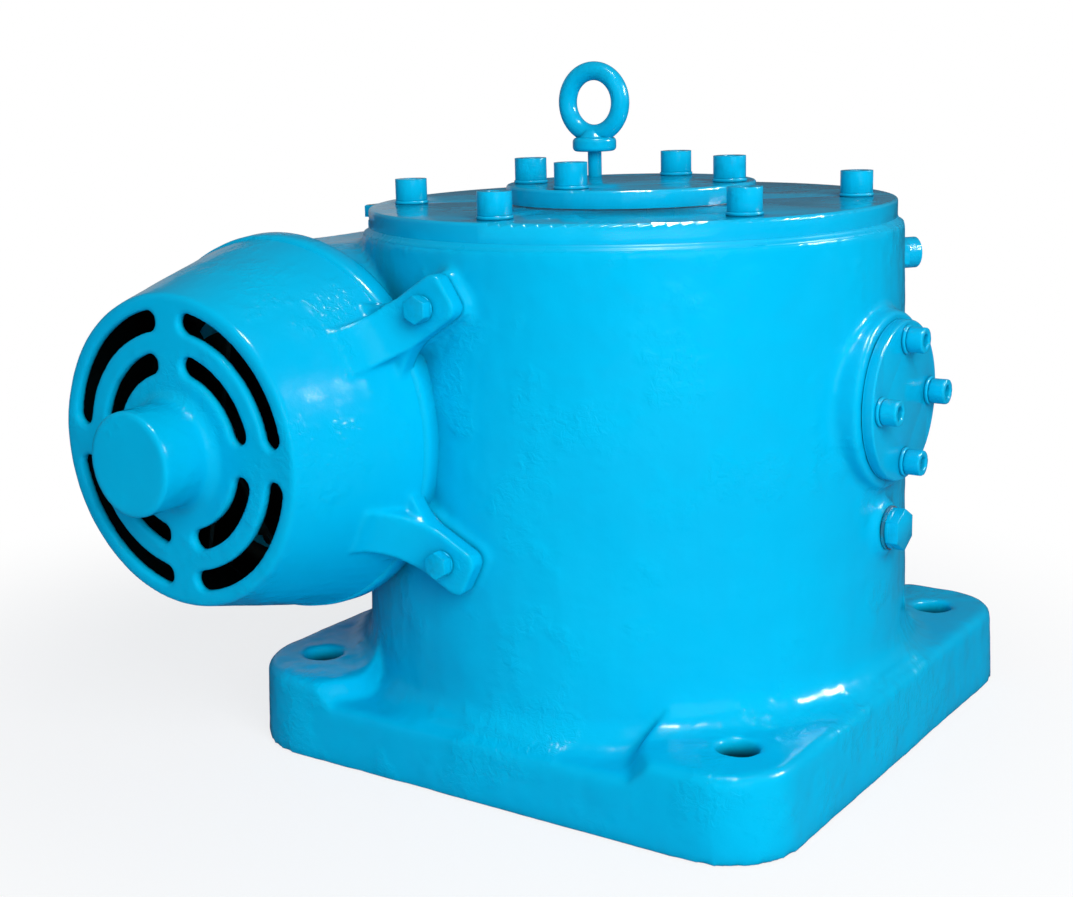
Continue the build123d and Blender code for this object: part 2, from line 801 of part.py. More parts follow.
def inspection_cover():
    face = Pos(inspection_face_x - inspection_cover_t, 0, inspection_z) * Rot(0, 90, 0)
    disc = rod("Z", inspection_cover_r, 0, inspection_cover_t)
    disc = fillet(disc.edges().group_by(Axis.Z)[-1], 1.5)
    cover = face * disc
    return cover - [place * rod("Z", m12["shank"] + screw_gap, -1, 20) for place in inspection_places()]


def inspection_gasket():
    x = inspection_face_x - inspection_cover_t - gasket_t
    ring = tube("X", inspection_cover_r, inspection_opening_r, x, x + gasket_t, (0, inspection_z))
    return ring - [place * rod("Z", m12["shank"] + screw_gap, -1, 20) for place in inspection_places()]


def turret_plate():
    plate = block(turret_x - turret_width / 2, turret_x + turret_width / 2, turret_y0, turret_y1,
                  turret_z + gasket_t, turret_z + gasket_t + turret_plate_t)
    plate = fillet(plate.edges().group_by(Axis.Z)[-1], 1.5)
    top = Pos(0, 0, gasket_t + turret_plate_t)
    return plate - [place * top * flush_hole(m6, 20) for place in turret_places()]


def turret_gasket():
    half = turret_width / 2
    outer = block(turret_x - half, turret_x + half, turret_y0, turret_y1, turret_z, turret_z + gasket_t)
    half -= turret_wall
    inner = block(turret_x - half, turret_x + half, turret_y0 + turret_wall, turret_y1 - turret_wall,
                  turret_z - 1, turret_z + gasket_t + 1)
    holes = [place * rod("Z", m6["shank"] + screw_gap, -1, 3) for place in turret_places()]
    return outer - inner - holes


def end_cap(side, bore_r):
    """Bearing cap on one neck of the tunnel, with a seat for the shaft seal."""
    inner_y = worm_bearing_y + worm_bearing_width + 0.1
    flange_y = neck_end_y + gasket_t
    cap = rod("Z", end_cap_r, flange_y, flange_y + end_cap_t)
    cap = fillet(cap.edges().group_by(Axis.Z)[-1], 2)
    cap += rod("Z", worm_bearing_outer_r - seat_gap, inner_y, flange_y)
    cap -= rod("Z", worm_bearing_outer_r - 8, inner_y - 1, flange_y - worm_seal_t)
    cap -= rod("Z", worm_seal_r, flange_y + end_cap_t - worm_seal_t, flange_y + end_cap_t + 1)
    cap -= rod("Z", bore_r + shaft_hole_gap, inner_y - 1, flange_y + end_cap_t + 1)
    cap = Pos(worm_x, 0, mesh_z) * Rot(-90 * side, 0, 0) * cap
    return cap - [place * rod("Z", m12["shank"] + screw_gap, -2, 20) for place in end_cap_places(side)]


def end_gasket(side):
    ring = tube("Z", end_cap_r, worm_bearing_outer_r, neck_end_y, neck_end_y + gasket_t)
    ring = Pos(worm_x, 0, mesh_z) * Rot(-90 * side, 0, 0) * ring
    return ring - [place * rod("Z", m12["shank"] + screw_gap, -2, 20) for place in end_cap_places(side)]


def worm_seal(side, shaft_r):
    outer_y = neck_end_y + gasket_t + end_cap_t
    seal = tube("Y", worm_seal_r, shaft_r + seal_gap, side * (outer_y - worm_seal_t), side * outer_y,
                (worm_x, mesh_z))
    return seal


def output_retainer():
    plate = rod("Z", retainer_r, retainer_recess_z - retainer_t, retainer_recess_z)
    hub = rod("Z", retainer_hub_r, retainer_recess_z, retainer_hub_top_z)
    part = plate + hub
    part -= rod("Z", output_seal_r, output_seal_z, retainer_hub_top_z + 1)
    part -= rod("Z", output_r + shaft_hole_gap, 0, retainer_hub_top_z)
    for place in retainer_places():
        part -= place * Pos(0, 0, retainer_t) * flush_hole(m10, retainer_t + 2)
    return part


def output_seal():
    return tube("Z", output_seal_r, output_r + seal_gap, output_seal_z, output_seal_z + output_seal_t)


# Cowl and fan


def slot(radius, middle_angle):
    """Arc-shaped opening with round ends, centred on an angle, in the XY plane."""
    reach = 45.0 - math.degrees((spoke_width / 2 + slot_width / 2) / radius)
    start, end = middle_angle - reach, middle_angle + reach
    half = slot_width / 2

    def at(r, angle):
        return (r * math.cos(math.radians(angle)), r * math.sin(math.radians(angle)))

    return make_face([
        ThreePointArc(at(radius + half, start), at(radius + half, middle_angle), at(radius + half, end)),
        ThreePointArc(at(radius + half, end), at(radius, end + math.degrees(half / radius)), at(radius - half, end)),
        ThreePointArc(at(radius - half, end), at(radius - half, middle_angle), at(radius - half, start)),
        ThreePointArc(at(radius - half, start), at(radius, start - math.degrees(half / radius)),
                      at(radius + half, start)),
    ])


def ear():
    """One bolting ear, along +X from the cowl's wall, with its seat at Z = 0."""
    inner = cowl_rear_r - 10
    root = ear_root_width / 2
    side = ear_width / 2
    waist = (root + 2 * side) / 3
    outline = make_face([
        Line((inner, -root), (inner, root)),
        ThreePointArc((inner, root), ((inner + ear_neck_r) / 2 - 1, waist), (ear_neck_r, side)),
        Line((ear_neck_r, side), (ear_end_r, side)),
        Line((ear_end_r, side), (ear_end_r, -side)),
        Line((ear_end_r, -side), (ear_neck_r, -side)),
        ThreePointArc((ear_neck_r, -side), ((inner + ear_neck_r) / 2 - 1, -waist), (inner, -root)),
    ])
    plate = extrude(outline, ear_t)
    plate = fillet(plate.edges().filter_by(Axis.Z).group_by(Axis.X)[-1], ear_corner_r)
    rib = make_face([
        Line((inner - 10, ear_t - ear_edge_r), (ear_rib_end_r, ear_t - ear_edge_r)),
        Line((ear_rib_end_r, ear_t - ear_edge_r), (ear_rib_end_r, ear_t)),
        RadiusArc((ear_rib_end_r, ear_t), (inner - 2, ear_t + ear_rib_height), 1.3 * ear_rib_height),
        Line((inner - 2, ear_t + ear_rib_height), (inner - 10, ear_t + ear_rib_height)),
        Line((inner - 10, ear_t + ear_rib_height), (inner - 10, ear_t - ear_edge_r)),
    ])
    rib = extrude(Plane.XZ * rib, side, both=True)
    return plate + rib


def fan_cowl():
    """Cast conical cowl: slotted face, closed nose over the shaft end and three bolting ears."""
    depth = cowl_seat_y - cowl_face_y
    nose = cowl_face_y - nose_end_y
    taper = (cowl_rear_r - cowl_face_r) / depth
    outer = Pos(0, 0, depth / 2) * Cone(cowl_rear_r, cowl_face_r, depth)
    outer = fillet(outer.edges().group_by(Axis.Z)[-1], cowl_edge_r)
    inside_depth = depth - cowl_plate_t
    inner_top = cowl_rear_r - cowl_wall - taper * inside_depth
    inner = Pos(0, 0, inside_depth / 2) * Cone(cowl_rear_r - cowl_wall, inner_top, inside_depth)
    cowl = outer
    for angle in ear_angles:
        cowl += Rot(0, 0, angle) * ear()
    root = make_face([
        Line((nose_r - 5, depth - 2), (nose_r + nose_root_r, depth - 2)),
        Line((nose_r + nose_root_r, depth - 2), (nose_r + nose_root_r, depth)),
        RadiusArc((nose_r + nose_root_r, depth), (nose_r, depth + nose_root_r), nose_root_r),
        Line((nose_r, depth + nose_root_r), (nose_r - 5, depth + nose_root_r)),
        Line((nose_r - 5, depth + nose_root_r), (nose_r - 5, depth - 2)),
    ])
    cowl += revolve(Plane.XZ * root, Axis.Z)
    tip = rod("Z", nose_r, depth - 2, depth + nose)
    cowl += fillet(tip.edges().group_by(Axis.Z)[-1], 2)
    cowl -= inner
    cowl -= rod("Z", nose_r - nose_wall, inside_depth - 1, depth + nose - nose_wall)
    for radius in (slot_outer_r, slot_inner_r):
        for angle in spaced(4, 45):
            cowl -= Pos(0, 0, inside_depth - 1) * extrude(slot(radius, angle), cowl_plate_t + 2)
    hole = rod("Z", m10["shank"] + screw_gap, -1, ear_t + 1)
    cowl -= [Rot(0, 0, angle) * Pos(ear_bolt_r, 0, 0) * hole for angle in ear_angles]
    return Pos(worm_x, cowl_seat_y, mesh_z) * Rot(90, 0, 0) * cowl


def cooling_fan():
    """Radial fan: hub, back plate and straight blades."""
    half = fan_blade_width / 2
    hub = rod("Z", fan_hub_r, -half, half)
    plate = rod("Z", fan_r * 0.82, half - fan_plate_t, half)
    fan = hub + plate
    blade = block(fan_hub_r - 3, fan_r, -fan_blade_t / 2, fan_blade_t / 2, -half, half)
    for angle in spaced(fan_blades, 12):
        fan += Rot(0, 0, angle) * blade
    fan = Pos(worm_x, fan_y, mesh_z) * Rot(-90, 0, 0) * fan
    fan -= rod("Y", fan_seat_r, fan_y - half - 1, fan_y + half + 1, (worm_x, mesh_z))
    return fan - fan_key_box()


def fan_key_box():
    low = mesh_z + fan_seat_r - fan_key_height * key_sink_share
    return block(worm_x - fan_key_width / 2, worm_x + fan_key_width / 2, fan_y - fan_key_length / 2,
                 fan_y + fan_key_length / 2, low, low + fan_key_height)


# Shafts and what turns with them


def worm_shaft():
    """Worm cut in one piece with its stepped shaft."""
    thread = Rot(-90, 0, 0) * worm_thread()
    steps = [
        (worm_neck_r, -worm_shoulder_y, worm_shoulder_y),
        (worm_shoulder_r, -worm_bearing_y, -worm_shoulder_y),
        (worm_shoulder_r, worm_shoulder_y, worm_bearing_y),
        (worm_bearing_bore_r, worm_bearing_y, worm_bearing_y + worm_bearing_width + lock_nut_t + 4),
        (worm_bearing_bore_r, -worm_bearing_y - worm_bearing_width - lock_nut_t - 4, -worm_bearing_y),
        (worm_seal_seat_r, -neck_end_y - 20, -worm_bearing_y),
        (worm_seal_seat_r, worm_bearing_y, neck_end_y + 20),
        (input_r, neck_end_y, input_end_y),
        (fan_seat_r, fan_shaft_end_y, -neck_end_y),
    ]
    for radius, start, end in steps:
        thread += rod("Y", radius, start, end)
    shaft = Pos(worm_x, 0, mesh_z) * thread
    return shaft - input_key_box() - fan_key_box()


def input_key_box():
    """Space of the coupling's key, partly sunk in the shaft extension and turned towards +X."""
    end = input_end_y - 8
    half = input_key_width / 2
    low = input_r - input_key_height * key_sink_share
    key = block(-half, half, end - input_key_length, end, low, low + input_key_height)
    key = fillet(key.edges().filter_by(Axis.Z), half - 0.1)
    return Pos(worm_x, 0, mesh_z) * Rot(0, input_key_turn, 0) * key


def lock_nut(side):
    """Slotted nut that holds a worm bearing against its shoulder."""
    start = worm_bearing_y + worm_bearing_width
    nut = tube("Z", lock_nut_r, worm_bearing_bore_r, start, start + lock_nut_t)
    for angle in spaced(4):
        nut -= Rot(0, 0, angle) * Pos(lock_nut_r, 0, start + lock_nut_t / 2) * Box(6, 8, lock_nut_t + 2)
    return Pos(worm_x, 0, mesh_z) * Rot(-90 * side, 0, 0) * nut


def output_shaft():
    """Hollow output shaft with a keyed bore that opens at the underside."""
    shaft = rod("Z", output_r, output_bottom_z, upper_bearing_z)
    shaft += rod("Z", output_top_r, upper_bearing_z, output_top_z)
    shaft -= rod("Z", output_bore_r, output_bottom_z - 1, output_top_z + 1)
    keyway_top = output_bore_r + bore_keyway_depth
    shaft -= block(0, keyway_top, -bore_keyway_width / 2, bore_keyway_width / 2,
                   output_bottom_z - 1, output_top_z + 1)
    shaft -= wheel_key_box()
    for z, radius in circlip_places():
        shaft -= tube("Z", radius + 1, radius - circlip_groove, z, z + circlip_t)
    return shaft


def circlip_places():
    """Bottom of each circlip and the radius of the shaft there."""
    below = lower_bearing_z - circlip_t - 0.1
    above = upper_bearing_z + upper_bearing_width + 0.1
    return [(below, output_r), (above, output_top_r)]


def shaft_circlips():
    rings = []
    for z, radius in circlip_places():
        inner = radius - circlip_groove
        ring = tube("Z", radius + circlip_height - circlip_groove, inner, z, z + circlip_t)
        rings.append(ring - block(-3, 3, -radius - 20, 0, z - 1, z + circlip_t + 1))
    return group(rings)


def wheel_key_box():
    half = wheel_key_length / 2
    width = wheel_key_width / 2
    high = -output_r + wheel_key_height * key_sink_share
    return block(high - wheel_key_height, high, -width, width, mesh_z - half, mesh_z + half)


def wheel_hub():
    """Cast centre of the wheel: a hub, a web with lightening holes and the seat of the bronze ring."""
    half = wheel_face / 2
    hub = rod("Z", hub_r, -hub_half_length, hub_half_length)
    hub += rod("Z", rim_seat_r, -web_t / 2, web_t / 2)
    hub += tube("Z", rim_seat_r, hub_rim_r, -half, half)
    hub -= rod("Z", output_r, -hub_half_length - 1, hub_half_length + 1)
    middle = (hub_r + hub_rim_r) / 2
    for place in around_z(middle, spaced(lightening_holes)):
        hub -= place * Cylinder(lightening_hole_r, web_t + 2)
    hub = Pos(0, 0, mesh_z) * hub
    slot_box = block(-output_r - wheel_key_height * (1 - key_sink_share), 0, -wheel_key_width / 2,
                     wheel_key_width / 2, mesh_z - hub_half_length - 1, mesh_z + hub_half_length + 1)
    return hub - (slot_box - rod("Z", output_r, 0, 400)) - rim_screw_cuts()


def spacer(bottom, top):
    return tube("Z", output_r + spacer_wall, output_r, bottom, top)


# Writing the nodes


def fasteners():
    """Screws, bolts and washers, one node for each kind and place."""
    cover_top = around_z(cover_screw_circle_r, cover_screw_angles, cover_top_z())
    lift = Pos(0, 0, m16["washer_t"])
    cap_top = around_z(cap_screw_circle_r, cap_screw_angles, cap_top_z())
    flush = around_z(cover_screw_circle_r, cover_flush_angles, cover_top_z())
    depth = cover_t + gasket_t + m16["grip"]
    cap_depth = cap_t + shim_t + m16["washer_t"] + m16["grip"]
    inspection_depth = inspection_cover_t + gasket_t + m12["washer_t"] + m12["grip"]
    insp_out = inspection_places(inspection_cover_t + gasket_t)
    small_lift = Pos(0, 0, m12["washer_t"])
    ears = ear_places(ear_t)
    ear_lift = Pos(0, 0, m10["washer_t"])
    nodes = {
        "top_cover_screws": on_top([p * lift for p in cover_top], socket_screw(m16, depth + m16["washer_t"])),
        "top_cover_washers": on_top(cover_top, washer(m16)),
        "top_cover_flush_screws": on_top(flush, flush_screw(m16, depth)),
        "bearing_cap_screws": on_top([p * lift for p in cap_top], socket_screw(m16, cap_depth)),
        "bearing_cap_washers": on_top(cap_top, washer(m16)),
        "inspection_screws": on_top([p * small_lift for p in insp_out], socket_screw(m12, inspection_depth)),
        "inspection_washers": on_top(insp_out, washer(m12)),
        "cowl_bolts": on_top([p * ear_lift for p in ears], hex_bolt(m10, ear_t + m10["grip"])),
        "cowl_washers": on_top(ears, washer(m10)),
        "retainer_screws": on_top([p * Pos(0, 0, retainer_t) for p in retainer_places()],
                                  flush_screw(m10, retainer_t + m10["grip"])),
        "turret_plate_screws": on_top([p * Pos(0, 0, gasket_t + turret_plate_t) for p in turret_places()],
                                      flush_screw(m6, turret_plate_t + m6["grip"])),
    }
    both_ends = end_cap_places(-1, gasket_t + end_cap_t) + end_cap_places(1, gasket_t + end_cap_t)
    nodes["end_cap_screws"] = on_top(both_ends, socket_screw(m12, end_cap_t + gasket_t + m12["grip"]))
    return nodes


def plugs():
    """Threaded plugs with their sealing washers."""
    level, drain, breather = plug_places()
    ring = tube("Z", plug_washer_r, plug_thread_r + seat_gap, 0, plug_washer_t)
    up = Pos(0, 0, plug_washer_t)
    cap = rod("Z", plug_flats / 2 - 1, plug_height, plug_height + breather_height)
    return {
        "oil_level_plug": level * up * hex_plug(),
        "drain_plug": drain * up * hex_plug(),
        "breather_plug": breather * up * (hex_plug() + cap),
        "plug_washers": on_top([level, drain, breather], ring),
    }


def all_nodes():
    lower_outer, lower_inner, lower_rollers = lower_bearing()
    upper_outer, upper_inner, upper_rollers = upper_bearing()
    fan_outer, fan_inner, fan_rollers = worm_bearing(-1)
    drive_outer, drive_inner, drive_rollers = worm_bearing(1)
    hub_bottom = mesh_z - hub_half_length
    hub_top = mesh_z + hub_half_length
    nodes = {
        "housing": housing(),
        "top_cover": top_cover(),
        "top_cover_gasket": top_cover_gasket(),
        "bearing_cap": bearing_cap(),
        "bearing_cap_shim": cap_shim(),
        "lifting_eyebolt": lifting_eyebolt(),
        "inspection_cover": inspection_cover(),
        "inspection_gasket": inspection_gasket(),
        "turret_plate": turret_plate(),
        "turret_gasket": turret_gasket(),
        "fan_end_cap": end_cap(-1, worm_seal_seat_r),
        "end_cap_gaskets": group([end_gasket(-1), end_gasket(1)]),
        "fan_end_seal": worm_seal(-1, worm_seal_seat_r),
        "drive_end_cap": end_cap(1, worm_seal_seat_r),
        "drive_end_seal": worm_seal(1, worm_seal_seat_r),
        "output_retainer": output_retainer(),
        "output_seal": output_seal(),
        "fan_cowl": fan_cowl(),
        "worm_shaft": worm_shaft(),
        "cooling_fan": cooling_fan(),
        "fan_key": fan_key_box(),
        "worm_lock_nuts": group([lock_nut(-1), lock_nut(1)]),
        "output_shaft": output_shaft(),
        "wheel_hub": wheel_hub(),
        "wheel_rim": wheel_rim(),
        "wheel_key": wheel_key_box(),
        "rim_lock_screws": group(rim_screw_cuts()),
        "lower_spacer": spacer(lower_bearing_z + lower_bearing_width, hub_bottom),
        "upper_spacer": spacer(hub_top, upper_bearing_z),
        "shaft_circlips": shaft_circlips(),
        "lower_bearing_outer": lower_outer,
        "lower_bearing_inner": lower_inner,
        "lower_bearing_rollers": lower_rollers,
        "upper_bearing_outer": upper_outer,
        "upper_bearing_inner": upper_inner,
        "upper_bearing_rollers": upper_rollers,
        "fan_end_bearing_outer": fan_outer,
        "fan_end_bearing_inner": fan_inner,
        "fan_end_bearing_rollers": fan_rollers,
        "drive_end_bearing_outer": drive_outer,
        "drive_end_bearing_inner": drive_inner,
        "drive_end_bearing_rollers": drive_rollers,
    }
    nodes.update(fasteners())
    nodes.update(plugs())
    return nodes


os.makedirs("parts", exist_ok=True)
for name, shape in all_nodes().items():
    export_step(shape, "parts/" + name + ".step")
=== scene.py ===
import json
import math

import bmesh
import bpy
from mathutils import Matrix, Vector


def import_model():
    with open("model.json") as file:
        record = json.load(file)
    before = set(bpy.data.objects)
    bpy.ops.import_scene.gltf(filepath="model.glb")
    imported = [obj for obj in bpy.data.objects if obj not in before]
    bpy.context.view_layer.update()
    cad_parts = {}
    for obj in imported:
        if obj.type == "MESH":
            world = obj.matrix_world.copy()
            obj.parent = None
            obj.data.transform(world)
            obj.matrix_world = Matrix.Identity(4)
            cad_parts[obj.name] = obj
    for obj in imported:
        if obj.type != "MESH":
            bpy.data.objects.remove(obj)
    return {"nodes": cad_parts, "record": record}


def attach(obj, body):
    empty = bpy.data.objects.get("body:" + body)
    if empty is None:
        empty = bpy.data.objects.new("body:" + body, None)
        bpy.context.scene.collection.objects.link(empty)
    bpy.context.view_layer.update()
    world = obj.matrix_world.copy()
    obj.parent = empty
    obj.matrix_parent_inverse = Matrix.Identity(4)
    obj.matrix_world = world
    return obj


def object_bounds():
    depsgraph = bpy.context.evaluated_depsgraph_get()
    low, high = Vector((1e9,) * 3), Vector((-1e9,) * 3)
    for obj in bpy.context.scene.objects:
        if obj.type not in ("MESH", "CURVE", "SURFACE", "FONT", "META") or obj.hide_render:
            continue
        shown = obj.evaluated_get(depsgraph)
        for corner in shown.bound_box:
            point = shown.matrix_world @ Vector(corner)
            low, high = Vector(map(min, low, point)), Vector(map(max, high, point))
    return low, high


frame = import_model()
cad_low, cad_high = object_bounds()
nodes = frame["nodes"]

# Camera, fitted to the rims, holes and screws in the photograph: degrees, metres and pixels
CAMERA_AZIMUTH, CAMERA_ELEVATION, CAMERA_ROLL = 34.656, 12.778, -1.508
CAMERA_PLACE = (0.6726, -1.1086, 0.5064)
FOCAL_PIXELS = 1679.7
IMAGE_WIDTH = 1073
SENSOR_MM = 36.0
FAR_CLIP = 100.0

# Places from the CAD, in metres
WORM_X, WORM_Z = -0.175, 0.254
COWL_FACE_Y, COWL_REAR_Y = -0.3214, -0.213
COWL_FACE_R, COWL_REAR_R, COWL_WALL = 0.110, 0.139, 0.006
HOLE_X, HOLE_Y, HOLE_R, PAD_Z = 0.183, 0.173, 0.014, 0.062
COVER_R, RIM_R, RIM_Z, GASKET = 0.200, 0.206, 0.390, 0.001


# Materials


class Shader:
    """A node material that is built from small calls."""

    def __init__(self, name):
        self.material = bpy.data.materials.new(name)
        self.material.use_nodes = True
        self.tree = self.material.node_tree
        self.tree.nodes.clear()
        self.out = self.tree.nodes.new("ShaderNodeOutputMaterial")

    def add(self, kind, inputs=None, **settings):
        node = self.tree.nodes.new("ShaderNode" + kind)
        for key, value in settings.items():
            setattr(node, key, value)
        for key, value in (inputs or {}).items():
            if isinstance(value, bpy.types.NodeSocket):
                self.tree.links.new(value, node.inputs[key])
            else:
                node.inputs[key].default_value = value
        return node

    def point(self, stretch=(1.0, 1.0, 1.0)):
        place = self.add("TexCoord").outputs["Object"]
        return self.add("Mapping", {"Vector": place, "Scale": stretch}).outputs["Vector"]

    def noise(self, scale, detail=3.0, rough=0.5, stretch=None, distortion=0.0):
        inputs = {"Scale": scale, "Detail": detail, "Roughness": rough, "Distortion": distortion}
        inputs["Vector"] = self.point(stretch or (1.0, 1.0, 1.0))
        return self.add("TexNoise", inputs).outputs["Fac"]

    def ramp(self, factor, *stops):
        node = self.add("ValToRGB", {"Fac": factor})
        band = node.color_ramp
        while len(band.elements) < len(stops):
            band.elements.new(0.5)
        for element, (position, color) in zip(band.elements, stops):
            element.position = position
            element.color = color if len(color) == 4 else (*color, 1.0)
        return node.outputs["Color"]

    def span(self, value, low, high, to_low=0.0, to_high=1.0):
        inputs = {"Value": value, "From Min": low, "From Max": high, "To Min": to_low, "To Max": to_high}
        return self.add("MapRange", inputs, interpolation_type="SMOOTHSTEP").outputs["Result"]

    def math(self, operation, a, b):
        return self.add("Math", {0: a, 1: b}, operation=operation).outputs[0]

    def mix(self, factor, a, b, blend="MIX"):
        node = self.add("Mix", data_type="RGBA", blend_type=blend)
        for socket, value in ((node.inputs[0], factor), (node.inputs[6], a), (node.inputs[7], b)):
            if isinstance(value, bpy.types.NodeSocket):
                self.tree.links.new(value, socket)
            else:
                socket.default_value = value if socket.type == "VALUE" or len(value) == 4 else (*value, 1.0)
        return node.outputs[2]

    def bump(self, height, distance, normal=None, strength=1.0):
        inputs = {"Height": height, "Distance": distance, "Strength": strength}
        if normal is not None:
            inputs["Normal"] = normal
        return self.add("Bump", inputs).outputs["Normal"]

    def finish(self, inputs):
        shader = self.add("BsdfPrincipled", inputs)
        self.tree.links.new(shader.outputs[0], self.out.inputs[0])
        return self.material


WHITE = (1.0, 1.0, 1.0)
PAINT = (0.0, 0.47, 0.76)
PAINT_LIGHT = (0.0, 0.53, 0.82)
# Painted shade for crevices, and also the tone that worn patches darken to
PAINT_SHADE_AND_WEAR = (0.0, 0.24, 0.40)
PRIMER = (0.03, 0.10, 0.07)
# Painted shade: near black for the inside of the fan cowl and the foundation holes
SHADE_BLACK = (0.0015, 0.006, 0.007)
ENAMEL_IOR = 1.48
CREVICE_REACH = 0.030
CREVICE_SHADE = 0.8
CREVICE_DIRT = 0.85
SOFT_SAMPLES = 8

# Heights of the paint's relief at full strength, in metres
LUMP_HEIGHT, WRINKLE_HEIGHT, RUN_HEIGHT, PEEL_HEIGHT = 0.0016, 0.0011, 0.0007, 0.00005


def enamel(name, lumps=1.0, grit=1.0, runs=0.0, gloss=0.14, shine=0.16, dark=None, soft=None,
           shade=1.0, grime=0.0):
    """Thick brushed enamel over a casting.

    lumps, grit and runs scale the relief, gloss is the lowest roughness and shine the specular level.
    dark makes a mask of where painted shade turns the paint black, soft is the radius that the paint
    rounds edges to, shade scales the painted shade in the crevices and grime darkens worn patches.
    """
    s = Shader(name)
    slow = s.noise(7.0, 3.0, 0.55)
    color = s.ramp(slow, (0.30, PAINT), (0.72, PAINT_LIGHT))
    # Painted shade: the paint darkens in the crevices that ambient occlusion finds
    open_share = s.add("AmbientOcclusion", {"Distance": CREVICE_REACH}, samples=SOFT_SAMPLES).outputs["AO"]
    painted_crevice_shade = s.span(open_share, 0.10, 0.85, 1.0, 0.0)
    color = s.mix(s.math("MULTIPLY", painted_crevice_shade, CREVICE_SHADE * shade), color, PAINT_SHADE_AND_WEAR)
    dirt = s.span(s.noise(90.0, 4.0, 0.6), 0.50, 0.66)
    dirt = s.math("MULTIPLY", dirt, s.span(open_share, 0.0, 0.40, CREVICE_DIRT, 0.0))
    color = s.mix(dirt, color, PRIMER)
    # Painted shade: where the dark mask is one, the paint turns black
    if dark:
        color = s.mix(dark(s), color, SHADE_BLACK)
    worn = s.span(s.noise(60.0, 3.0, 0.6), 0.50, 0.75, 0.0, 0.35 * grime)
    color = s.mix(worn, color, PAINT_SHADE_AND_WEAR)
    edge = s.add("Bevel", {"Radius": soft}, samples=SOFT_SAMPLES).outputs["Normal"] if soft else None
    lump = s.noise(30.0, 2.0, 0.45)
    normal = s.bump(lump, LUMP_HEIGHT * lumps, edge)
    patch = s.span(s.noise(14.0, 3.0, 0.6), 0.50, 0.62)
    wrinkle = s.noise(170.0, 3.0, 0.6, (1.0, 1.0, 1.0), 0.8)
    normal = s.bump(s.math("MULTIPLY", wrinkle, patch), WRINKLE_HEIGHT * grit, normal)
    if runs:
        streak = s.noise(30.0, 2.0, 0.4, (1.0, 1.0, 0.10), 0.6)
        normal = s.bump(s.span(streak, 0.52, 0.66), RUN_HEIGHT * runs, normal)
    normal = s.bump(s.noise(520.0, 2.0, 0.5), PEEL_HEIGHT, normal)
    rough = s.span(s.noise(24.0, 3.0, 0.6), 0.3, 0.75, gloss, gloss + 0.10)
    return s.finish({
        "Base Color": color, "Roughness": rough, "Normal": normal,
        "IOR": ENAMEL_IOR, "Specular IOR Level": shine,
    })


def shade_inside_cowl(s):
    """Mask of painted shade: one inside the fan cowl, going to zero at the back edge of its slots."""
    place = s.add("SeparateXYZ", {"Vector": s.point()}).outputs
    across = s.math("SUBTRACT", place["X"], WORM_X)
    height = s.math("SUBTRACT", place["Z"], WORM_Z)
    square = s.math("ADD", s.math("MULTIPLY", across, across), s.math("MULTIPLY", height, height))
    radius = s.math("SQRT", square, 0.0)
    wall = s.add("MapRange", {
        "Value": place["Y"], "From Min": COWL_FACE_Y, "From Max": COWL_REAR_Y,
        "To Min": COWL_FACE_R - COWL_WALL / 2, "To Max": COWL_REAR_R - COWL_WALL / 2,
    }).outputs["Result"]
    within = s.span(s.math("SUBTRACT", wall, radius), 0.0, 0.002)
    behind = s.span(place["Y"], COWL_FACE_Y + 0.0040, COWL_FACE_Y + 0.0085)
    return s.math("MULTIPLY", within, behind)


def shade_in_holes(s):
    """Mask of painted shade: nearly one down in the four foundation holes."""
    place = s.add("SeparateXYZ", {"Vector": s.point()}).outputs
    across = s.math("SUBTRACT", s.math("ABSOLUTE", place["X"], 0.0), HOLE_X)
    along = s.math("SUBTRACT", s.math("ABSOLUTE", place["Y"], 0.0), HOLE_Y)
    square = s.math("ADD", s.math("MULTIPLY", across, across), s.math("MULTIPLY", along, along))
    within = s.span(s.math("SQRT", square, 0.0), HOLE_R + 0.0010, HOLE_R + 0.0030, 1.0, 0.0)
    below = s.span(place["Z"], PAD_Z - 0.014, PAD_Z - 0.004, 0.9, 0.0)
    return s.math("MULTIPLY", within, below)


def metal(name, color, rough, brush=(1.0, 1.0, 1.0), mark=0.00004, scale=260.0):
    """Machined metal with faint tool marks and stains of oil."""
    s = Shader(name)
    stain = s.span(s.noise(28.0, 4.0, 0.6), 0.35, 0.7)
    dark = tuple(c * 0.72 for c in color)
    tint = s.mix(stain, color, dark)
    line = s.noise(scale, 2.0, 0.5, brush)
    level = s.span(line, 0.3, 0.7, rough * 0.75, rough * 1.3)
    return s.finish({
        "Base Color": tint, "Metallic": 1.0, "Roughness": level, "Normal": s.bump(line, mark),
    })


def dull(name, color, rough=0.65, grain=0.0001, scale=900.0):
    """Rubber or fibre sheet."""
    s = Shader(name)
    speck = s.noise(scale, 3.0, 0.6)
    light = tuple(min(1.0, c * 1.6 + 0.01) for c in color)
    tint = s.mix(s.span(speck, 0.35, 0.75), color, light)
    level = s.span(s.noise(40.0), 0.3, 0.7, rough - 0.08, rough + 0.1)
    return s.finish({"Base Color": tint, "Roughness": level, "Normal": s.bump(speck, grain)})


# The casting's paint turns black down the foundation holes as painted shade
cast_paint = enamel("enamel_on_casting", lumps=0.8, runs=0.2, dark=shade_in_holes)
plate_paint = enamel("enamel_on_covers", lumps=0.25, grit=0.25, gloss=0.11, shine=0.5)
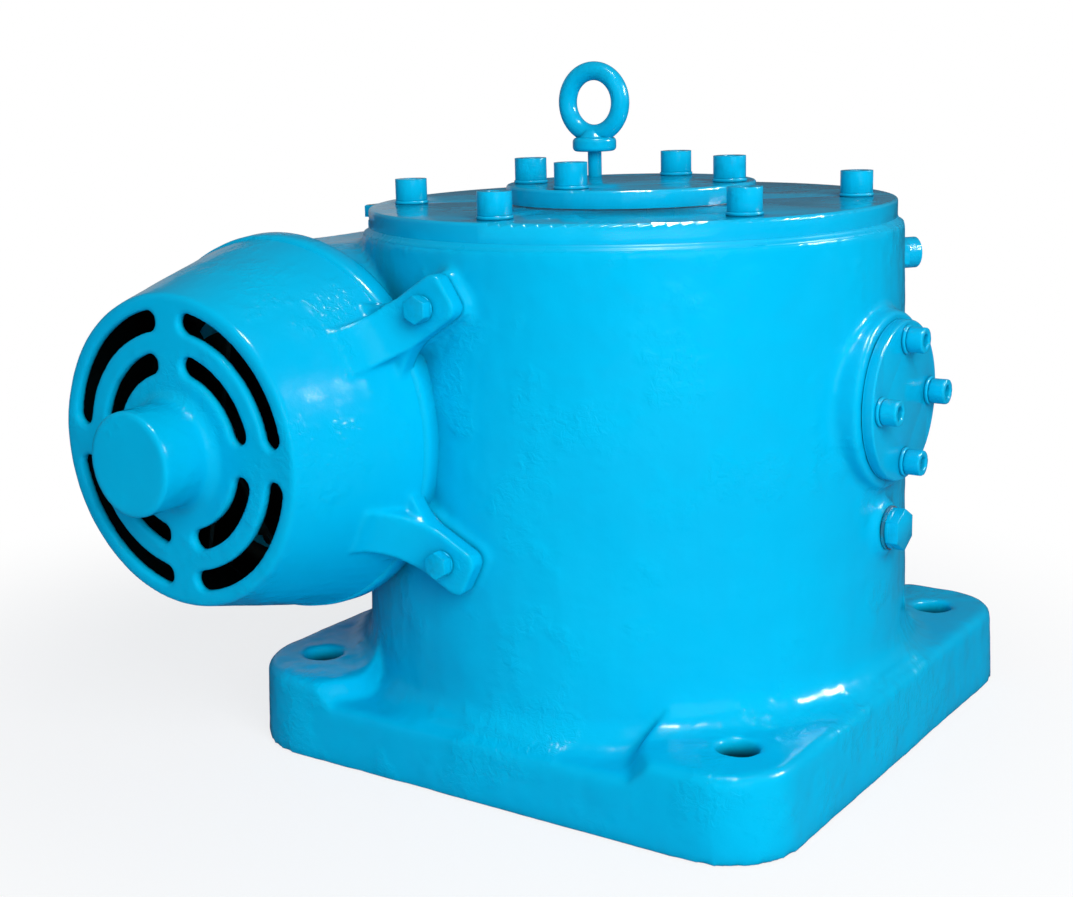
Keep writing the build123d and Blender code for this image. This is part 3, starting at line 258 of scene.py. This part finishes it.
# The cowl's paint turns black inside as painted shade
cowl_paint = enamel("enamel_on_cowl", lumps=0.3, grit=0.8, gloss=0.13, dark=shade_inside_cowl, soft=0.0035)
screw_paint = enamel("enamel_on_screws", lumps=0.5, grit=0.8, shine=0.25, soft=0.0012, grime=1.0)
steel = metal("ground_steel", (0.60, 0.61, 0.62), 0.28, (1.0, 8.0, 1.0))
polished = metal("bearing_steel", (0.72, 0.73, 0.74), 0.14, mark=0.00001)
bronze = metal("tin_bronze", (0.66, 0.40, 0.16), 0.30, (1.0, 1.0, 6.0))
iron = metal("grey_iron", (0.20, 0.20, 0.21), 0.55, mark=0.0003, scale=320.0)
zinc = metal("zinc_steel", (0.62, 0.64, 0.66), 0.35, mark=0.00005)
# Near black fan metal: partly the fan's dirty casting, partly painted shade inside the cowl
alloy = metal("fan_alloy", (0.10, 0.13, 0.12), 0.42, mark=0.00012, scale=420.0)
gasket_paint = enamel("enamel_on_gaskets", lumps=0.3, grit=0.5, gloss=0.25, shade=0.4)
rubber = dull("seal_rubber", (0.018, 0.018, 0.02), 0.5)

BY_SLOT = {
    "painted_casting": plate_paint,
    "painted_fastener": screw_paint,
    "zinc_steel": zinc,
    "shaft_steel": steel,
    "bearing_steel": polished,
    "gear_bronze": bronze,
    "hub_iron": iron,
    "fan_alloy": alloy,
    "painted_gasket": gasket_paint,
    "seal_rubber": rubber,
}
OWN_FINISH = {"housing": cast_paint, "fan_cowl": cowl_paint}

for part in frame["record"]["subparts"]:
    piece = nodes[part["node"]]
    finish = OWN_FINISH.get(part["node"], BY_SLOT[part["material_slot"]])
    piece.data.materials.clear()
    piece.data.materials.append(finish)


# Shapes


CAST_VOXEL, COWL_VOXEL, SCREW_VOXEL = 0.0024, 0.0016, 0.0009
PLATE_EDGE, SCREW_EDGE, WASHER_EDGE = 0.0009, 0.0012, 0.0008
SHARP_DEGREES = 32
WELD_REACH = 0.00002


def clouds(name, size):
    texture = bpy.data.textures.new(name, "CLOUDS")
    texture.noise_scale = size
    texture.noise_depth = 2
    return texture


def cast_skin(name, voxel, rounds, waves):
    """Turns a node's crisp solid into a softened one.

    Each of the waves, a size and a depth, presses hollows into it and never raises the surface.
    """
    piece = nodes[name]
    remesh = piece.modifiers.new("skin", "REMESH")
    remesh.mode = "VOXEL"
    remesh.voxel_size = voxel
    remesh.use_smooth_shade = True
    smooth = piece.modifiers.new("soften", "SMOOTH")
    smooth.iterations = rounds
    for size, depth in waves:
        ripple = piece.modifiers.new("ripple", "DISPLACE")
        ripple.texture = clouds(name + "_ripple", size)
        ripple.texture_coords = "LOCAL"
        ripple.strength = depth
        ripple.mid_level = 1.0


def crisp(name, width):
    """Rounds the edges of a machined node a little, as paint does."""
    piece = nodes[name]
    weld = piece.modifiers.new("weld", "WELD")
    weld.merge_threshold = WELD_REACH
    bevel = piece.modifiers.new("edge", "BEVEL")
    bevel.width = width
    bevel.segments = 3
    bevel.limit_method = "ANGLE"
    bevel.angle_limit = math.radians(SHARP_DEGREES)
    bevel.harden_normals = True
    piece.data.shade_smooth()


cast_skin("housing", CAST_VOXEL, 6, [(0.030, 0.0011), (0.011, 0.0004)])
cast_skin("fan_cowl", COWL_VOXEL, 7, [(0.040, 0.0008)])
for name in ("top_cover", "bearing_cap", "inspection_cover", "turret_plate"):
    crisp(name, PLATE_EDGE)
cast_skin("inspection_screws", SCREW_VOXEL, 5, [])
for name in ("top_cover_screws", "bearing_cap_screws", "cowl_bolts", "oil_level_plug",
             "drain_plug", "breather_plug"):
    crisp(name, SCREW_EDGE)
for name in ("top_cover_washers", "bearing_cap_washers", "inspection_washers", "cowl_washers"):
    crisp(name, WASHER_EDGE)
crisp("lifting_eyebolt", WASHER_EDGE)


def turned_ring(name, profile, place, paint, steps=96):
    """Ring fixed to the housing, with a closed profile of (radius, way along the axis) points.

    place(radius, turn, way) gives the point in space.
    """
    mesh = bmesh.new()
    rings = []
    for radius, way in profile:
        turns = (2 * math.pi * k / steps for k in range(steps))
        rings.append([mesh.verts.new(place(radius, turn, way)) for turn in turns])
    for k in range(steps):
        n = (k + 1) % steps
        for this, other in zip(rings, rings[1:] + rings[:1]):
            mesh.faces.new((this[k], this[n], other[n], other[k]))
    bmesh.ops.recalc_face_normals(mesh, faces=mesh.faces)
    data = bpy.data.meshes.new(name)
    mesh.to_mesh(data)
    mesh.free()
    data.shade_smooth()
    ring = bpy.data.objects.new(name, data)
    bpy.context.scene.collection.objects.link(ring)
    data.materials.append(paint)
    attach(ring, "housing_body")


def on_worm(radius, turn, y):
    return WORM_X + radius * math.cos(turn), y, WORM_Z + radius * math.sin(turn)


def upright(radius, turn, z):
    return radius * math.cos(turn), radius * math.sin(turn), z


# Dark sheet ring round the bearing cap that closes the back of the cowl, put in as painted shade so that no
# light shows through the slots
SHADE_BAFFLE_PROFILE = [(0.0986, -0.2146), (0.1350, -0.2146), (0.1350, -0.2132), (0.0986, -0.2132)]
turned_ring("cowl_shade_baffle", SHADE_BAFFLE_PROFILE, on_worm, alloy)

# Lip at the cowl's rear edge
LIP_PROFILE = [
    (0.1325, -0.2180), (0.1382, -0.2180), (0.1396, -0.2120), (0.1404, -0.2020),
    (0.1396, -0.2000), (0.1350, -0.2000), (0.1325, -0.2050),
]
turned_ring("cowl_lip", LIP_PROFILE, on_worm, cowl_paint, 160)

# Enamel that fills the corner between the cover and the barrel's rim
FILLET_PROFILE = [
    (COVER_R - 0.004, RIM_Z - 0.003),
    (COVER_R - 0.004, RIM_Z + GASKET + 0.0016),
    (COVER_R + 0.0003, RIM_Z + GASKET + 0.0014),
    (COVER_R + 0.0008, RIM_Z + GASKET),
    (COVER_R + 0.0022, RIM_Z - 0.0006),
    (RIM_R - 0.0016, RIM_Z - 0.0018),
    (RIM_R - 0.0026, RIM_Z - 0.0040),
]
turned_ring("enamel_fillet", FILLET_PROFILE, upright, gasket_paint, 200)


# Floor, light and camera

FLOOR_SIZE = 60.0
FLOOR_BOUNCE, FLOOR_MIRRORED = (0.43, 0.53, 0.64), (0.12, 0.12, 0.12)
ROOM_LIGHT, ROOM_MIRRORED = (0.20, 0.25, 0.31), (0.10, 0.10, 0.10)

# The middle of the shadow, how far out the floor starts and ends to whiten, and its white share before
SHADOW_X, SHADOW_Y = -0.15, -0.05
WHITEN_FROM, WHITEN_TO, LEAST_WHITE = 0.30, 0.75, 0.78


def floor():
    """Pale floor that is white all round and keeps the grey shadow beside the base."""
    bpy.ops.mesh.primitive_plane_add(size=FLOOR_SIZE, location=(0, 0, cad_low.z))
    plane = bpy.context.object
    plane.name = "floor"
    s = Shader("floor_white")
    ray = s.add("LightPath")
    seen = s.math("MAXIMUM", ray.outputs["Is Camera Ray"], ray.outputs["Is Transmission Ray"])
    bounce = s.mix(ray.outputs["Is Glossy Ray"], FLOOR_BOUNCE, FLOOR_MIRRORED)
    tone = s.mix(seen, bounce, WHITE)
    plain = s.add("BsdfDiffuse", {"Color": tone}).outputs[0]
    glow = s.add("Emission", {"Color": (*WHITE, 1.0), "Strength": 1.0}).outputs[0]
    middle = (-SHADOW_X, -SHADOW_Y, 0.0)
    place = s.add("Mapping", {"Vector": s.point(), "Location": middle}).outputs["Vector"]
    far = s.add("VectorMath", {0: place}, operation="LENGTH").outputs["Value"]
    whitened = s.span(far, WHITEN_FROM, WHITEN_TO, LEAST_WHITE, 1.0)
    share = s.math("MULTIPLY", seen, whitened)
    both = s.add("MixShader", {0: share, 1: plain, 2: glow}).outputs[0]
    s.tree.links.new(both, s.out.inputs[0])
    plane.data.materials.append(s.material)


def world():
    """White behind the gearbox, a dimmer room for its light and a darker one in its reflections."""
    sky = bpy.data.worlds.new("studio")
    bpy.context.scene.world = sky
    sky.use_nodes = True
    tree = sky.node_tree
    tree.nodes.clear()
    out = tree.nodes.new("ShaderNodeOutputWorld")
    back = tree.nodes.new("ShaderNodeBackground")
    ray = tree.nodes.new("ShaderNodeLightPath")
    seen = tree.nodes.new("ShaderNodeMath")
    seen.operation = "MAXIMUM"
    room = tree.nodes.new("ShaderNodeMix")
    room.data_type = "RGBA"
    room.inputs[6].default_value = (*ROOM_LIGHT, 1.0)
    room.inputs[7].default_value = (*ROOM_MIRRORED, 1.0)
    shown = tree.nodes.new("ShaderNodeMix")
    shown.data_type = "RGBA"
    shown.inputs[7].default_value = (*WHITE, 1.0)
    back.inputs["Strength"].default_value = 1.0
    tree.links.new(ray.outputs["Is Camera Ray"], seen.inputs[0])
    tree.links.new(ray.outputs["Is Transmission Ray"], seen.inputs[1])
    tree.links.new(ray.outputs["Is Glossy Ray"], room.inputs[0])
    tree.links.new(seen.outputs[0], shown.inputs[0])
    tree.links.new(room.outputs[2], shown.inputs[6])
    tree.links.new(shown.outputs[2], back.inputs["Color"])
    tree.links.new(back.outputs[0], out.inputs[0])


# Name, azimuth and elevation in degrees, distance, width and height in metres, watts
KEY_BOX = ("key_box", 50, 26, 2.6, 1.8, 1.8, 62)
SIDE_BOX = ("side_box", 117, 29, 2.6, 0.60, 0.45, 100)
TOP_BOX = ("top_box", 55, 76, 2.4, 0.50, 0.30, 60)
BACK_BOX = ("back_box", 235, 8, 2.6, 1.2, 0.8, 0.9)
LAMP_AIM = (0.0, 0.0, 0.22)


def softbox(name, azimuth, elevation, distance, width, height, power):
    """An area lamp seen from the gearbox at an azimuth and elevation, facing it."""
    lamp = bpy.data.lights.new(name, "AREA")
    lamp.shape = "RECTANGLE"
    lamp.size, lamp.size_y = width, height
    lamp.energy = power
    a, e = math.radians(azimuth), math.radians(elevation)
    way = Vector((math.sin(a) * math.cos(e), -math.cos(a) * math.cos(e), math.sin(e)))
    holder = bpy.data.objects.new(name, lamp)
    holder.location = Vector(LAMP_AIM) + way * distance
    holder.rotation_euler = way.to_track_quat("Z", "Y").to_euler()
    bpy.context.scene.collection.objects.link(holder)
    return holder


def camera():
    azimuth, elevation = math.radians(CAMERA_AZIMUTH), math.radians(CAMERA_ELEVATION)
    roll = math.radians(CAMERA_ROLL)
    back = Vector((
        math.sin(azimuth) * math.cos(elevation),
        -math.cos(azimuth) * math.cos(elevation),
        math.sin(elevation),
    ))
    right = (-back).cross(Vector((0, 0, 1))).normalized()
    up = right.cross(-back)
    side = right * math.cos(roll) + up * math.sin(roll)
    head = up * math.cos(roll) - right * math.sin(roll)
    data = bpy.data.cameras.new("camera")
    data.sensor_width = SENSOR_MM
    data.lens = FOCAL_PIXELS * SENSOR_MM / IMAGE_WIDTH
    data.clip_end = FAR_CLIP
    holder = bpy.data.objects.new("camera", data)
    turn = Matrix((side, head, back)).transposed().to_4x4()
    holder.matrix_world = Matrix.Translation(CAMERA_PLACE) @ turn
    bpy.context.scene.collection.objects.link(holder)
    bpy.context.scene.camera = holder


floor()
world()
softbox(*KEY_BOX).visible_glossy = False
for box in (SIDE_BOX, TOP_BOX, BACK_BOX):
    softbox(*box).visible_diffuse = False
camera()
bpy.context.scene.view_settings.view_transform = "Standard"
